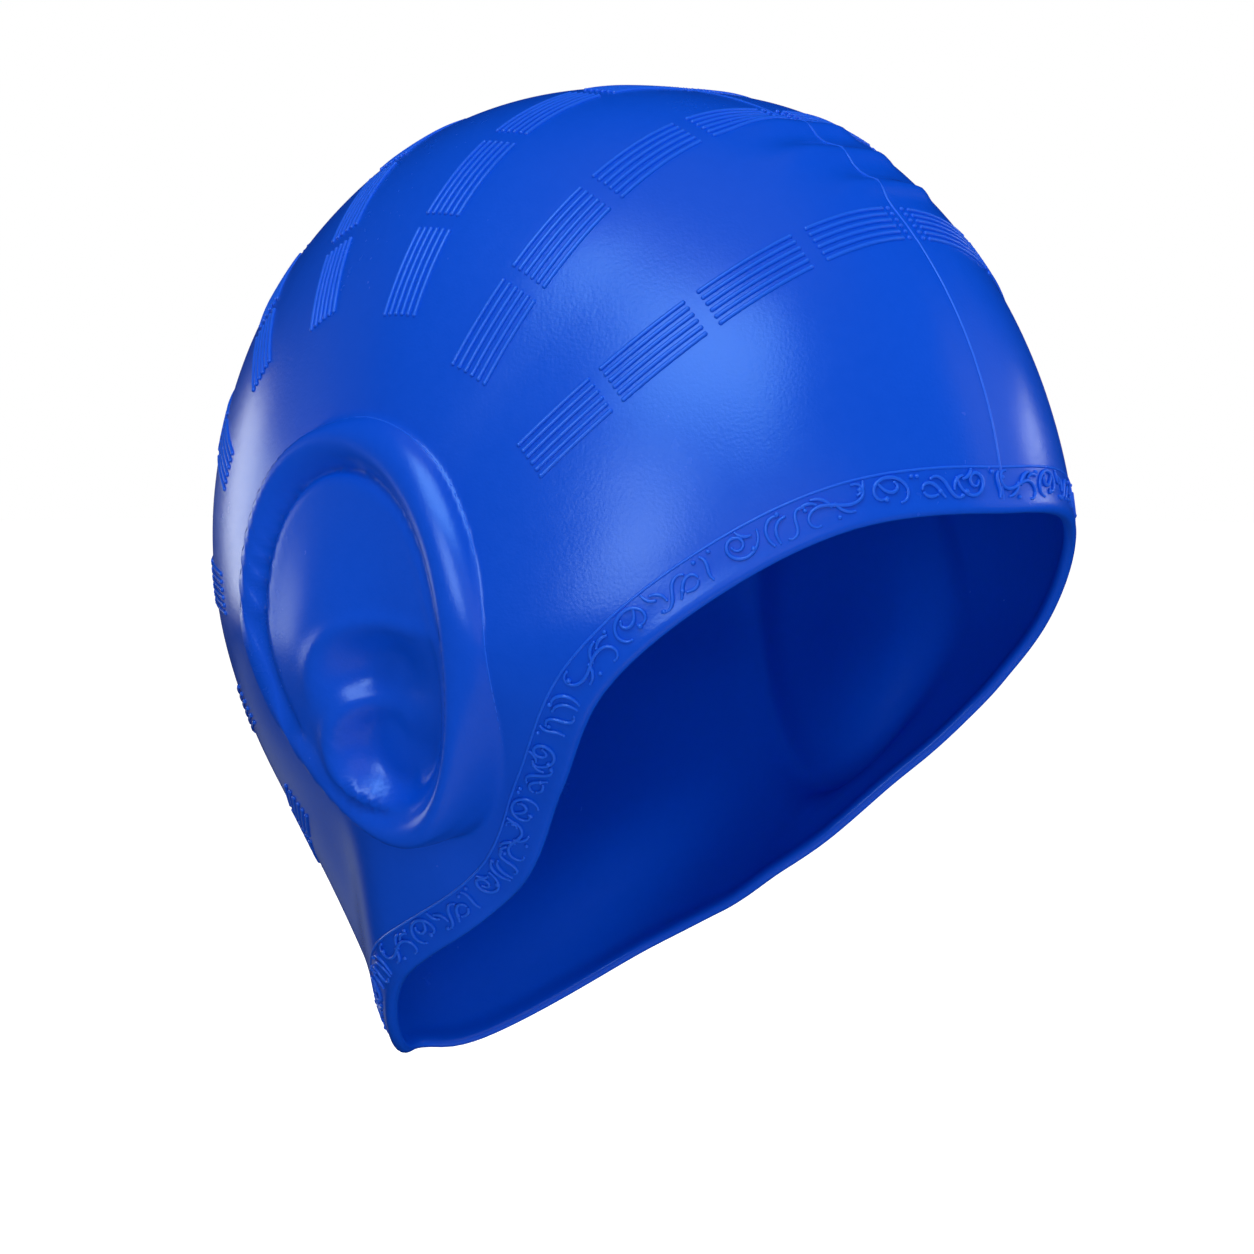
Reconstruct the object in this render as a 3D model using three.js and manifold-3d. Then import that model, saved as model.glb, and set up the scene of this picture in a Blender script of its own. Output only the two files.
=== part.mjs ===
// A swim cap moulded in one piece from silicone, in the form that it has when it is worn: a thin
// dome with a rolled edge round the opening, a pocket over each ear, and bands of fine ribs that run
// from ear to ear over the head.
// Millimetres. +X is the wearer's left, -Y the front, +Z up. The origin is on the inside of the
// crown, where the top of the head sits.
import * as THREE from "three";
import { mergeVertices } from "three/addons/utils/BufferGeometryUtils.js";
import Module from "manifold-3d";

// Driving dimensions. The form is laid out from the axis through both ears: an angle turns about
// that axis, from 0 at the forehead to 90 at the crown and 180 at the back, and a spread opens from
// it, from 0 at the ear to 90 at the middle of the head.
const HALF_WIDTH = 82;
const MIDDLE_ROUNDING = 0.06;
const WALL = 1.6;
const LIP_RADIUS = 1.7;
const RIB_HEIGHT = 0.6;
const RIB_PITCH = 1.7;
const RIBS_PER_BAND = 6;
const DASHES = 4;
const DASH_GAP = 2.1;
const SEAM_GAP = 1.1;

// Side profile, a row every 15 degrees from the forehead. Reach is the distance from the ear axis
// to the middle of the head, and fullness the power of the section between: 2 is an ellipse.
const PROFILE = [
  { reach: 98, fullness: 1.83 },
  { reach: 104, fullness: 1.8 },
  { reach: 108.5, fullness: 1.76 },
  { reach: 112.1, fullness: 1.77 },
  { reach: 114.7, fullness: 1.84 },
  { reach: 116.1, fullness: 2.09 },
  { reach: 116.6, fullness: 2.32 },
  { reach: 116.5, fullness: 2.3 },
  { reach: 116, fullness: 2.2 },
  { reach: 115.5, fullness: 2.11 },
  { reach: 114.3, fullness: 2.01 },
  { reach: 111, fullness: 1.95 },
  { reach: 108.1, fullness: 1.83 },
  { reach: 109, fullness: 1.6 },
  { reach: 111.1, fullness: 1.35 },
  { reach: 117.5, fullness: 1.16 },
  { reach: 125.8, fullness: 1.23 },
  { reach: 112.3, fullness: 1.19 },
  { reach: 95.3, fullness: 1.15 },
  { reach: 83.3, fullness: 1.26 },
  { reach: 75.1, fullness: 1.4 },
  { reach: 75, fullness: 1.51 },
  { reach: 79.6, fullness: 1.62 },
  { reach: 88.4, fullness: 1.74 },
];

// The edge of the opening on one side, from the middle of the forehead, down in front of the ear
// and under it, to the middle of the nape.
const OPENING = [
  { angle: 14.5, spread: 90 },
  { angle: 14.3, spread: 69.7 },
  { angle: 7.2, spread: 52.3 },
  { angle: -10.9, spread: 38.6 },
  { angle: -47.7, spread: 37.8 },
  { angle: -86.2, spread: 51.7 },
  { angle: -116.1, spread: 66.4 },
  { angle: -124.4, spread: 84.9 },
  { angle: -126.2, spread: 90 },
];

// The rib bands from front to back: where each crosses the middle of the head, where it ends
// towards the ear, and how many of its dashes are raised on each side.
const BANDS = [
  { crest: 49.2, ear: 46, end: 36, dashes: 4 },
  { crest: 69.8, ear: 70.3, end: 38.7, dashes: 4 },
  { crest: 84.8, ear: 90.5, end: 42.5, dashes: 4 },
  { crest: 106, ear: 112.5, end: 45.5, dashes: 4 },
  { crest: 128.5, ear: 133.3, end: 48.5, dashes: 4 },
  { crest: 150, ear: 152, end: 47.8, dashes: 4 },
  { crest: 172.5, ear: 174, end: 46.5, dashes: 4 },
  { crest: 193, ear: 193.7, end: 46, dashes: 3 },
  { crest: 211, ear: 210, end: 52, dashes: 3 },
];

// The ear pocket, laid out on a plane beside the head as seen from the middle of the ear axis. Its
// raised ring has a crest and, inside it, a groove, both ovals that are widest at the top and lean
// back. The ring's plane tips in towards the neck and the back, where its outer slope is widest.
const POCKET = { plane: 80, leastSide: 0.5, floor: -1.6 };
const CREST = {
  back: 9.6,
  up: -4.4,
  halfWidth: 29.9,
  halfHeight: 44.6,
  lean: 7.6,
  egg: 0.19,
  side: 83,
  round: 3,
  tipFrom: 5,
  tipIn: 0.19,
  tipBack: 0.05,
  slope: 9,
  slopeBelow: 15,
};
const GROOVE = {
  back: 11.4,
  up: -3.3,
  halfWidth: 26.2,
  halfHeight: 40.4,
  lean: 7,
  egg: 0.1,
  width: 2.4,
  depth: 3,
  rise: 0.8,
};

// The relief inside the pocket, which follows an ear: soft-edged ovals that lift or sink the floor.
const EAR_RELIEF = [
  { name: "upper mound", back: 11, up: 19, halfWidth: 18, halfHeight: 16, lift: 1.6, soft: 0.9 },
  { name: "upper bowl", back: 6.5, up: -6, halfWidth: 13, halfHeight: 9.5, lift: -3, soft: 0.4 },
  { name: "lower bowl", back: 3.5, up: -20, halfWidth: 16.5, halfHeight: 17, lift: -4.5, soft: 0.4 },
];

// How finely the faceted surface is cut.
const RING_COLUMNS = 34;
const FLOOR_SHARES = [0.3, 0.6, 0.85];
const FILL_STEP = 10;
const INNER_ROWS = 4;
const LIP_STATIONS_PER_ROW = 4;
const LIP_SIDES = 6;
const NORMAL_STEP = 0.004;
const MERGE_DISTANCE = 1e-3;
const TINY = 1e-6;

// The cone that cuts the opening: how far past the edge it reaches, and the point it closes at.
const CUT_REACH = 2;
const CUT_FAR = new THREE.Vector3(0, -60, -260);

const degrees = THREE.MathUtils.radToDeg;
const radians = THREE.MathUtils.degToRad;
const { clamp, lerp, smoothstep, euclideanModulo } = THREE.MathUtils;

// The value at a place along a closed row of values, on a smooth curve through them.
function onCurve(values, place) {
  const index = Math.floor(place);
  const part = place - index;
  const [before, start, end, after] = [-1, 0, 1, 2].map(
    (step) => values[euclideanModulo(index + step, values.length)],
  );
  const bend = 2 * before - 5 * start + 4 * end - after + part * (3 * (start - end) + after - before);
  return start + 0.5 * part * (end - before + part * bend);
}

// A unit direction from the middle of the ear axis, on the wearer's left side.
function direction(angle, spread) {
  const across = Math.sin(radians(spread));
  return new THREE.Vector3(
    Math.cos(radians(spread)),
    -across * Math.cos(radians(angle)),
    across * Math.sin(radians(angle)),
  );
}

const angleOf = (toward) => degrees(Math.atan2(toward.z, -toward.y));
const spreadOf = (toward) => degrees(Math.atan2(Math.hypot(toward.y, toward.z), toward.x));

// A share of the way out to the side, rounded off where both halves meet in the middle.
const rounded = (share) => Math.hypot(share, MIDDLE_ROUNDING) - MIDDLE_ROUNDING;

// The plain head form: the point of its surface in a direction.
function headForm(toward) {
  const place = (angleOf(toward) * PROFILE.length) / 360;
  const reach = onCurve(PROFILE.map((row) => row.reach), place);
  const fullness = onCurve(PROFILE.map((row) => row.fullness), place);
  const side = Math.pow(rounded(toward.x) / rounded(1) / HALF_WIDTH, fullness);
  const middle = Math.pow(Math.hypot(toward.y, toward.z) / reach, fullness);
  return toward.clone().multiplyScalar(Math.pow(side + middle, -1 / fullness));
}

// How wide an oval is at a share of its height, as a share of its half width.
const eggWidth = (oval, height) => 1 + (oval.egg ?? 0) * height;

// Where a direction meets an oval of the pocket's layout: its place across and along the oval, its
// radius (1 on the oval) and its distance outside it.
function onOval(toward, oval) {
  const back = (POCKET.plane * toward.y) / toward.x - oval.back;
  const up = (POCKET.plane * toward.z) / toward.x - oval.up;
  const lean = radians(oval.lean ?? 0);
  const across = back * Math.cos(lean) - up * Math.sin(lean);
  const along = back * Math.sin(lean) + up * Math.cos(lean);
  const height = along / oval.halfHeight;
  const turned = height / Math.max(TINY, Math.hypot(across / oval.halfWidth, height));
  const width = oval.halfWidth * eggWidth(oval, turned);
  const radius = Math.max(TINY, Math.hypot(across / width, height));
  return { across, along, radius, outside: Math.hypot(across, along) * (1 - 1 / radius) };
}

// How far down the ring a place is: 0 in its upper part, 1 at its lower end.
const lowerShare = ({ along, radius }) => smoothstep(-along / CREST.halfHeight / radius, 0, 0.8);

// How wide the outer slope of the pocket's ring is.
const slopeWidth = (place) => lerp(CREST.slope, CREST.slopeBelow, lowerShare(place));

// The outer surface in a direction: the head form, with the ear pocket raised on it. The ring's
// slope meets the head form in a crease, which fades out lower down.
function skin(toward) {
  const point = headForm(toward);
  if (toward.x < POCKET.leastSide) return point;
  const crest = onOval(toward, CREST);
  const share = clamp(crest.outside / slopeWidth(crest), 0, 1);
  const raised = 1 - lerp(share * share, smoothstep(share, 0, 1), lowerShare(crest));
  if (raised <= 0) return point;
  const groove = onOval(toward, GROOVE);
  const depth = GROOVE.depth - (GROOVE.rise * groove.across) / GROOVE.halfWidth;
  const hollow = depth * Math.exp(-((groove.outside / GROOVE.width) ** 2));
  const relief = EAR_RELIEF.map((row) => {
    const { radius } = onOval(toward, row);
    return row.lift * (1 - smoothstep(radius, 1 - row.soft, 1 + row.soft));
  });
  const floor = relief.reduce((sum, lift) => sum + lift, POCKET.floor);
  const side =
    CREST.side -
    CREST.tipIn * Math.max(0, CREST.tipFrom - crest.along) -
    CREST.tipBack * Math.max(0, crest.across) -
    hollow * smoothstep(-crest.outside, 0, CREST.round) +
    floor * smoothstep(-groove.outside, 0, 2 * GROOVE.width);
  return toward.clone().multiplyScalar(lerp(point.x, side, raised) / toward.x);
}

// The outer surface and its outward normal in a direction on either side of the head.
function skinAt(toward) {
  const side = toward.x < 0 ? -1 : 1;
  const on = (way) => {
    const across = way.x < 0 ? -1 : 1;
    const point = skin(new THREE.Vector3(Math.abs(way.x), way.y, way.z).normalize());
    point.x *= across;
    return point;
  };
  const first = new THREE.Vector3(0, 0, 1);
  if (Math.abs(toward.z) > 0.9) first.set(0, 1, 0);
  first.cross(toward).normalize();
  const second = toward.clone().cross(first);
  const slopes = [first, second].map((way) =>
    on(toward.clone().addScaledVector(way, NORMAL_STEP)).sub(
      on(toward.clone().addScaledVector(way, -NORMAL_STEP)),
    ),
  );
  const at = on(toward);
  if (Math.abs(toward.x) < TINY) at.x = 0;
  at.x = side * Math.abs(at.x);
  return { at, normal: slopes[0].cross(slopes[1]).normalize() };
}

// A point of a loop round the ear: a direction, and the height that is raised on the skin there.
const spot = (toward, lift = 0) => ({ toward, lift });

// A loop on an oval of the pocket, scaled, and moved out by a share of the ring's outer slope.
function ovalLoop(oval, scale, slopeShare = 0) {
  const lean = radians(oval.lean);
  return Array.from({ length: RING_COLUMNS }, (_, column) => {
    const turn = (2 * Math.PI * column) / RING_COLUMNS;
    const across = -oval.halfWidth * eggWidth(oval, Math.sin(turn)) * Math.cos(turn);
    const along = oval.halfHeight * Math.sin(turn);
    const outwards = (slopeShare * slopeWidth({ along, radius: 1 })) / Math.hypot(across, along);
    const size = scale + outwards;
    const toward = new THREE.Vector3(
      POCKET.plane,
      size * (across * Math.cos(lean) + along * Math.sin(lean)) + oval.back,
      size * (along * Math.cos(lean) - across * Math.sin(lean)) + oval.up,
    );
    return spot(toward.normalize());
  });
}

// Loops of the pocket from its middle outwards.
function pocketLoops() {
  const wall = {};
  for (const size of ["back", "up", "halfWidth", "halfHeight", "lean", "egg"])
    wall[size] = lerp(GROOVE[size], CREST[size], 0.5);
  return [
    ...FLOOR_SHARES.map((share) => ovalLoop(GROOVE, share)),
    ovalLoop(GROOVE, 1),
    ovalLoop(wall, 1),
    ovalLoop(CREST, 1),
    ovalLoop(CREST, 1, 0.5),
    ovalLoop(CREST, 1, 1),
  ];
}

// The spread at which the ribs end towards the ear, at any angle round the ear.
function ribEnd(angle) {
  const index = BANDS.findIndex((from, place) => {
    const to = BANDS[(place + 1) % BANDS.length];
    return euclideanModulo(angle - from.ear, 360) < euclideanModulo(to.ear - from.ear, 360);
  });
  const from = BANDS[index];
  const to = BANDS[(index + 1) % BANDS.length];
  const share = euclideanModulo(angle - from.ear, 360) / euclideanModulo(to.ear - from.ear, 360);
  return lerp(from.end, to.end, share);
}

// Rows of the ribbed zone from the ear out to the middle of the head: the spread of each, and the
// dash that it raises, counted from the middle.
function ribRows(end) {
  const dash = (90 - SEAM_GAP - end - (DASHES - 1) * DASH_GAP) / DASHES;
  const rows = [{ spread: end - DASH_GAP / 2 }];
  for (let index = 0; index < DASHES; index++) {
    const start = end + index * (dash + DASH_GAP);
    const fromMiddle = DASHES - 1 - index;
    rows.push({ spread: start, dash: fromMiddle }, { spread: start + dash, dash: fromMiddle });
    if (fromMiddle > 0) rows.push({ spread: start + dash + DASH_GAP / 2 });
  }
  rows.push({ spread: 90 });
  return rows;
}

// Columns of the ribbed zone, front to back and on round under the ear. A band has a column on
// each rib and in each groove between, and plain columns fill the space between bands.
function ribColumns() {
  const columns = [];
  BANDS.forEach((band, index) => {
    const next = BANDS[(index + 1) % BANDS.length];
    for (let step = -RIBS_PER_BAND; step <= RIBS_PER_BAND; step++)
      columns.push({ band, offset: (step * RIB_PITCH) / 2, ridge: Math.abs(step) % 2 === 1 });
    const gap = euclideanModulo(next.crest - band.crest, 360);
    const fill = Math.max(2, Math.round(gap / FILL_STEP) - 1);
    for (let step = 1; step <= fill; step++) columns.push({ band, next, share: step / (fill + 1) });
  });
  return columns;
}

// The angle of a place beside a band's middle line, at a spread.
function bandAngle(band, spread, offset) {
  const middle = lerp(band.crest, band.ear, (90 - spread) / (90 - band.end));
  const { y, z } = headForm(direction(middle, spread));
  return middle + degrees(offset / Math.hypot(y, z));
}

// Loops of the ribbed zone from the ear out to the middle of the head.
function ribLoops() {
  const edge = (RIBS_PER_BAND * RIB_PITCH) / 2;
  const plan = ribColumns().map(({ band, next, share, offset, ridge }) => {
    if (!next)
      return ribRows(band.end).map(({ spread, dash }) => {
        const lift = ridge && dash < band.dashes ? RIB_HEIGHT : 0;
        return spot(direction(bandAngle(band, spread, offset), spread), lift);
      });
    const turn = next.ear < band.ear ? 360 : 0;
    return ribRows(lerp(band.end, next.end, share)).map(({ spread }) => {
      const from = bandAngle(band, spread, edge);
      const to = bandAngle(next, spread, -edge) + turn;
      return spot(direction(lerp(from, to, share), spread));
    });
  });
  return plan[0].map((_, row) => plan.map((column) => column[row]));
}

// Plain loops a share of the way from a loop to the spread that a rule gives at each angle.
function loopsToward(loop, shares, rule) {
  return shares.map((share) =>
    loop.map(({ toward }) => {
      const angle = angleOf(toward);
      return spot(direction(angle, lerp(spreadOf(toward), rule(angle), share)));
    }),
  );
}

// A loop's points with rising angles, from the one nearest a starting angle round to itself.
function roundFrom(loop, start) {
  const beside = (point) => euclideanModulo(angleOf(point.toward) - start + 180, 360) - 180;
  const distances = loop.map((point) => Math.abs(beside(point)));
  const first = distances.indexOf(Math.min(...distances));
  const base = beside(loop[first]);
  return Array.from({ length: loop.length + 1 }, (_, step) => {
    const point = loop[(first + step) % loop.length];
    const turned = step === loop.length ? 360 : euclideanModulo(beside(point) - base, 360);
    return { point, angle: base + turned };
  });
}

// Triangles between two loops round the ear, the first inside the second. Loops of different
// lengths are joined by moving on along the one whose next point comes first.
function stitch(inside, outside) {
  const triangles = [];
  if (inside.length === outside.length) {
    inside.forEach((point, index) => {
      const next = (index + 1) % inside.length;
      triangles.push([point, inside[next], outside[index]]);
      triangles.push([inside[next], outside[next], outside[index]]);
    });
    return triangles;
  }
  const start = angleOf(outside[0].toward);
  const near = roundFrom(inside, start);
  const far = roundFrom(outside, start);
  let at = 0;
  let beyond = 0;
  while (at < inside.length || beyond < outside.length) {
    const farDone = beyond === outside.length;
    if (farDone || (at < inside.length && near[at + 1].angle <= far[beyond + 1].angle)) {
      triangles.push([near[at].point, near[at + 1].point, far[beyond].point]);
      at++;
    } else {
      triangles.push([near[at].point, far[beyond + 1].point, far[beyond].point]);
      beyond++;
    }
  }
  return triangles;
}

// Both halves of a closed surface from the loops of one, each point at a depth below the skin.
function surface(loops, depth) {
  const [first] = loops;
  const middle = spot(first.reduce((sum, { toward }) => sum.add(toward), new THREE.Vector3()).normalize());
  const triangles = first.map((point, index) => [middle, first[(index + 1) % first.length], point]);
  for (let index = 1; index < loops.length; index++)
    triangles.push(...stitch(loops[index - 1], loops[index]));
  const placed = new Map();
  const place = (point) => {
    if (!placed.has(point)) {
      const { at, normal } = skinAt(point.toward);
      placed.set(point, at.addScaledVector(normal, point.lift - depth));
      if (point.toward.x < TINY) at.x = 0;
    }
    return placed.get(point);
  };
  const positions = [];
  for (const corners of triangles) {
    const [a, b, c] = corners.map(place);
    for (const { x, y, z } of [a, c, b]) positions.push(x, y, z);
    for (const { x, y, z } of [a, b, c]) positions.push(-x, y, z);
  }
  return positions;
}

// The opening's edge as directions, closed and even on both sides.
function openingEdge() {
  const half = OPENING.map((row) => skinAt(direction(row.angle, row.spread)).at);
  const other = half.slice(1, -1).reverse().map(({ x, y, z }) => new THREE.Vector3(-x, y, z));
  const rows = [...half, ...other];
  return Array.from({ length: rows.length * LIP_STATIONS_PER_ROW }, (_, index) => {
    const place = index / LIP_STATIONS_PER_ROW;
    const [x, y, z] = ["x", "y", "z"].map((axis) => onCurve(rows.map((row) => row[axis]), place));
    return new THREE.Vector3(x, y, z).normalize();
  });
}

// The rolled edge: a round bead that runs along the opening in the middle of the wall.
function lipPositions(edge) {
  const stations = edge.map((toward) => {
    const { at, normal } = skinAt(toward);
    return { at: at.addScaledVector(normal, -WALL / 2), normal };
  });
  const rings = stations.map(({ at, normal }, index) => {
    const before = stations.at(index - 1).at;
    const after = stations[(index + 1) % stations.length].at;
    const run = after.clone().sub(before).normalize();
    const across = run.clone().cross(normal).normalize();
    const out = across.clone().cross(run);
    return Array.from({ length: LIP_SIDES }, (_, side) => {
      const turn = (2 * Math.PI * side) / LIP_SIDES;
      const rim = at.clone().addScaledVector(out, LIP_RADIUS * Math.cos(turn));
      return rim.addScaledVector(across, LIP_RADIUS * Math.sin(turn));
    });
  });
  const positions = [];
  rings.forEach((ring, index) => {
    const next = rings[(index + 1) % rings.length];
    ring.forEach((corner, side) => {
      const beside = (side + 1) % LIP_SIDES;
      const corners = [corner, next[side], next[beside], corner, next[beside], ring[beside]];
      for (const { x, y, z } of corners) positions.push(x, y, z);
    });
  });
  return positions;
}

// What is cut away for the opening: a cone from the middle of the ear axis through its edge.
function openingPositions(edge) {
  const tip = new THREE.Vector3();
  const rim = edge.map((toward) => skinAt(toward).at.multiplyScalar(CUT_REACH));
  const positions = [];
  rim.forEach((corner, index) => {
    const next = rim[(index + 1) % rim.length];
    const corners = [tip, next, corner, CUT_FAR, corner, next];
    for (const { x, y, z } of corners) positions.push(x, y, z);
  });
  return positions;
}

const wasm = await Module();
wasm.setup();

// A closed surface as a solid, turned to face outwards.
function solid(positions) {
  const geometry = new THREE.BufferGeometry();
  geometry.setAttribute("position", new THREE.Float32BufferAttribute(positions, 3));
  const merged = mergeVertices(geometry, MERGE_DISTANCE);
  const vertProperties = merged.attributes.position.array;
  const triVerts = new Uint32Array(merged.index.array);
  const made = new wasm.Manifold(new wasm.Mesh({ numProp: 3, vertProperties, triVerts }));
  if (made.volume() > 0) return made;
  triVerts.reverse();
  return new wasm.Manifold(new wasm.Mesh({ numProp: 3, vertProperties, triVerts }));
}

function geometryOf(made) {
  const mesh = made.getMesh();
  const geometry = new THREE.BufferGeometry();
  geometry.setAttribute("position", new THREE.Float32BufferAttribute(mesh.vertProperties, 3));
  geometry.setIndex(new THREE.BufferAttribute(mesh.triVerts, 1));
  return geometry;
}

const pocket = pocketLoops();
const approach = loopsToward(pocket.at(-1), [0.5, 1], (angle) => ribEnd(angle) - 2 * DASH_GAP);
const innerShares = Array.from({ length: INNER_ROWS }, (_, row) => (row + 1) / INNER_ROWS);
const inner = loopsToward(approach.at(-1), innerShares, () => 90);

const outerBody = solid(surface([...pocket, ...approach, ...ribLoops()], 0));
const innerBody = solid(surface([...pocket, ...approach, ...inner], WALL));
const edge = openingEdge();
const shell = outerBody
  .subtract(innerBody)
  .subtract(solid(openingPositions(edge)))
  .add(solid(lipPositions(edge)));

const silicone = new THREE.MeshStandardMaterial({ color: 0x0548cc, roughness: 0.36, metalness: 0 });
const capShell = new THREE.Mesh(geometryOf(shell), silicone);
capShell.name = "cap_shell";
capShell.position.z = WALL - skin(direction(90, 90)).z;

const cap = new THREE.Group();
cap.add(capShell);
export default cap;
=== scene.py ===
import math
import bpy
import numpy as np
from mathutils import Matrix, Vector


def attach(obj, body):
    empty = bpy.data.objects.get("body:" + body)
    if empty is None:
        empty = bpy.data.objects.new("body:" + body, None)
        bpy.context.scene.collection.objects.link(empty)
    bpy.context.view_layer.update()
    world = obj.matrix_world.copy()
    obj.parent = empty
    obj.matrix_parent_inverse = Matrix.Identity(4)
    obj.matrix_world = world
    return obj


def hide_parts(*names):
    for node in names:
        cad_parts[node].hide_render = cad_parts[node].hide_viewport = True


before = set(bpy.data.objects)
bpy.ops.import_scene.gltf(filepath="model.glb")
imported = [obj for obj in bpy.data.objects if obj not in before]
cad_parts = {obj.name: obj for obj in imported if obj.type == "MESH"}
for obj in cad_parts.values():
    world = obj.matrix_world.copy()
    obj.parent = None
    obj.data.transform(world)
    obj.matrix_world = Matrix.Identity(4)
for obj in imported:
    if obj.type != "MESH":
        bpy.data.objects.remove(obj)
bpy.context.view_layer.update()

# The wall of the cap
# One skin of soft silicone, pressed in a closed mould in the form that it has on a head. It is laid
# out from the axis through both ears: an angle turns about that axis, from 0 at the forehead to 90 at
# the crown, and a spread opens from it, from 0 at the ear to 90 at the middle. All sizes here in mm.
half_width = 82.0
middle_rounding = 0.06
wall = 1.6
# A row every 15 degrees from the forehead: the reach from the ear axis to the middle of the head,
# and the fullness of the section between, where 2 is an ellipse.
row_step = 15
reach = [
    98, 104, 108.5, 112.1, 114.7, 116.1, 116.6, 116.5, 116, 115.5, 114.3, 111,
    108.1, 109, 111.1, 117.5, 125.8, 112.3, 95.3, 83.3, 75.1, 75, 79.6, 88.4,
]
fullness = [
    1.83, 1.8, 1.76, 1.77, 1.84, 2.09, 2.32, 2.3, 2.2, 2.11, 2.01, 1.95,
    1.83, 1.6, 1.35, 1.16, 1.23, 1.19, 1.15, 1.26, 1.4, 1.51, 1.62, 1.74,
]
# Under the ears the form turns more smoothly than at the middle: rows with their reach and fullness.
under_ears = {
    13: (109.5, 1.53), 14: (112.8, 1.38), 15: (117.3, 1.27), 16: (117.8, 1.2),
    17: (109.5, 1.17), 18: (96.5, 1.18), 19: (83.3, 1.27),
}
side_rows = [under_ears.get(row, plain) for row, plain in enumerate(zip(reach, fullness))]
side_reach, side_fullness = zip(*side_rows)
# They give way to the rows of the middle between these places, each the sine of a spread.
middle_range = (0.55, 0.98)
# The edge of the opening as (angle, spread), from the forehead under the ear to the nape.
opening = [
    (14.5, 90), (14.3, 69.7), (7.2, 52.3), (-10.9, 38.6), (-47.7, 37.8),
    (-86.2, 51.7), (-116.1, 66.4), (-124.4, 84.9), (-126.2, 90),
]


def unit(vectors):
    return vectors / np.linalg.norm(vectors, axis=-1, keepdims=True)


def smoothstep(value, low, high):
    share = np.clip((value - low) / (high - low), 0, 1)
    return share * share * (3 - 2 * share)


def soft_ramp(value, bend):
    """The value where it is well above 0, and 0 well below, with a soft bend between."""
    return (value + np.hypot(value, bend)) / 2


def on_curve(rows, place):
    """The value at a place along a closed row of values, on a smooth curve through them."""
    rows = np.asarray(rows, float)
    index = np.floor(place).astype(int)
    part = place - index
    if rows.ndim > 1:
        part = part[..., None]
    before, start, end, after = (rows[(index + step) % len(rows)] for step in (-1, 0, 1, 2))
    bend = 2 * before - 5 * start + 4 * end - after + part * (3 * (start - end) + after - before)
    return start + 0.5 * part * (end - before + part * bend)


def direction(angle, spread, side=1):
    angle, spread = np.radians(angle), np.radians(spread)
    across = np.sin(spread)
    ways = (side * np.cos(spread), -across * np.cos(angle), across * np.sin(angle))
    return np.stack(np.broadcast_arrays(*ways), -1)


def head_form(toward):
    """The plain head form: how far its surface is in each direction."""
    place = np.degrees(np.arctan2(toward[..., 2], -toward[..., 1])) / row_step
    from_ear = np.hypot(toward[..., 1], toward[..., 2])
    share = smoothstep(from_ear, *middle_range)
    power = on_curve(side_fullness, place) * (1 - share) + on_curve(fullness, place) * share
    sideways = np.hypot(toward[..., 0], middle_rounding) - middle_rounding
    sideways = sideways / (math.hypot(1, middle_rounding) - middle_rounding) / half_width
    middle = from_ear / (on_curve(side_reach, place) * (1 - share) + on_curve(reach, place) * share)
    return (sideways**power + middle**power) ** (-1 / power)


# The pocket over each ear: a raised ring with a groove inside it, round a floor that follows the
# ear. It is laid out on a plane 80 mm to the side, as seen from the middle of the ear axis, in ovals
# that are widest at the top (egg) and lean back. The ring's plane tips in towards the neck and back.
pocket_plane = 80.0
crest = {"back": 9.4, "up": -4.4, "half_width": 30.2, "half_height": 44.6, "lean": 7.6, "egg": 0.18}
groove = {"back": 9.0, "up": -3.7, "half_width": 27.7, "half_height": 39.2, "lean": 7.0, "egg": 0.1}
# A pocket rises only in directions that have this share of their length to the side, or more.
pockets_from, least_side = 0.5, 0.3
ring_side = 83.0
tip_from, tip_in, tip_back, tip_bend = 5.0, 0.24, 0.05, 8.0
# The ring's outer slope is widest below. The ranges say where along the oval each width takes over.
slope_top, slope_front, slope_below = 5.4, 9.6, 13.5
slope_front_range, slope_below_range = (-0.1, 0.9), (0, 0.8)
# On it a rounded shoulder falls evenly and ends in a steeper foot.
shoulder_round, shoulder_share, foot_share, foot_power = 0.25, 0.88, 0.12, 6
# The groove is shallower at the front and below.
groove_depth, groove_fade, ring_bend = 4.2, 0.42, 2.8
groove_front_range, groove_low_range = (0.1, 0.9), (0.4, 0.95)
groove_edge, groove_edge_front = 1.9, 0.3
# The mound behind the bowls fills the groove here, in degrees about its middle from the back.
filled_turn, filled_spread = -40, 20
floor_level = -2.0
# Lobes of the relief: where each is, how far it lifts, the way it is steepest, in degrees from the
# back, how steep its side is that way and the other way, and how high a rim stands on the steep side.
lobes = [
    {
        "back": 16, "up": -4, "half_width": 14, "half_height": 21,
        "lift": 2.9, "steepest": 0, "steep": (3, 3), "rim": 0,
    },
    {
        "back": 15, "up": -24, "half_width": 12, "half_height": 18,
        "lift": 1.6, "steepest": 0, "steep": (3, 3), "rim": 0,
    },
    {
        "back": 0.5, "up": -9.5, "half_width": 12.5, "half_height": 9,
        "lift": -4.8, "steepest": 60, "steep": (7, 2.5), "rim": 1.3,
    },
    {
        "back": 1, "up": -27.5, "half_width": 15.5, "half_height": 13,
        "lift": -4.6, "steepest": -5, "steep": (16, 2.5), "rim": 1.9,
    },
]
# The steep side fades out towards the other within this range of the cosine of the turn from it. Its
# rim stands beyond the lobe's edge by a way that shrinks as the side steepens, and has this width.
steep_range = (-0.2, 0.9)
rim_beyond, rim_width = 2.6, 0.22
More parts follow.
